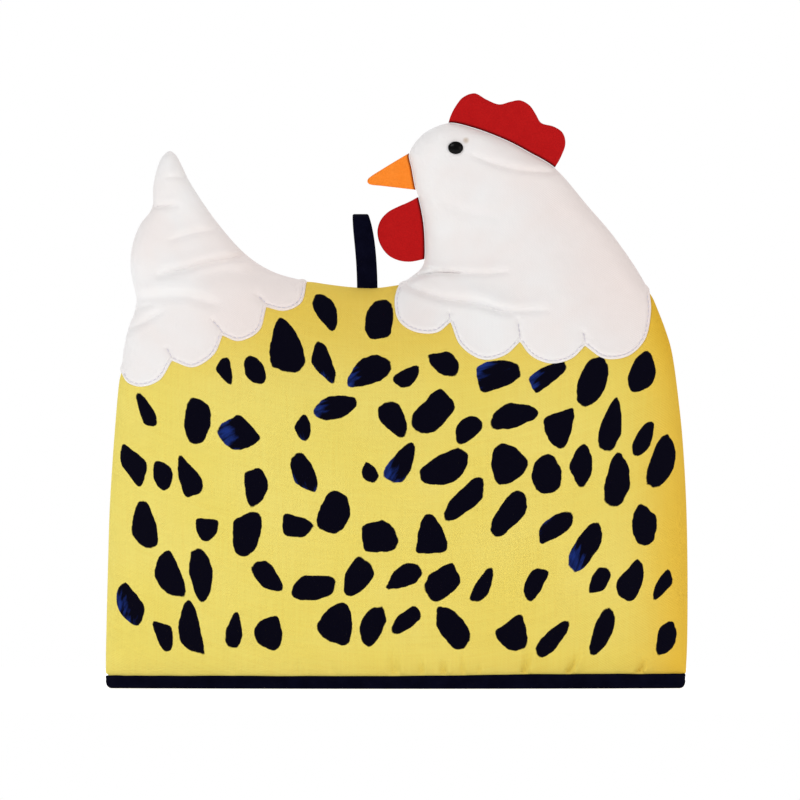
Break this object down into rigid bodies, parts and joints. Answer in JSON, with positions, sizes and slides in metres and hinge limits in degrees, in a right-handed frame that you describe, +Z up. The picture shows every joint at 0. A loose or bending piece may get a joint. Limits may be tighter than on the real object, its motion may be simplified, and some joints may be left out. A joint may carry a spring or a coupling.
{
  "type": "tea cosy",
  "caption": "Padded cotton tea cosy in the outline of a sitting hen, hollow and open at its hem, with scalloped white tail and neck, felt comb, beak and wattle, and a hanging loop.",
  "frame": {"origin": "on the surface the hem stands on, under the middle of the cover", "axes": "+X from the tail to the head, +Y from the front panel to the back panel, +Z up"},
  "size_m": [0.3512, 0.1054, 0.3591],
  "materials": {
    "panel_cotton": "printed plain-weave cotton over wadding, matt",
    "white_cotton": "pressed plain-weave cotton, matt",
    "red_felt": "dense felt, matt",
    "orange_felt": "dense felt, matt",
    "navy_tape": "folded cotton tape, matt",
    "black_plastic": "moulded dome, satin"
  },
  "bodies": {
    "root": {"panel_front": "panel_cotton", "panel_back": "panel_cotton", "tail_front": "white_cotton", "tail_back": "white_cotton", "neck_front": "white_cotton", "neck_back": "white_cotton", "comb": "red_felt", "wattle": "red_felt", "beak": "orange_felt", "hem_binding": "navy_tape", "hanging_loop": "navy_tape", "eye_front": "black_plastic", "eye_back": "black_plastic"}
  },
  "joints": []
}
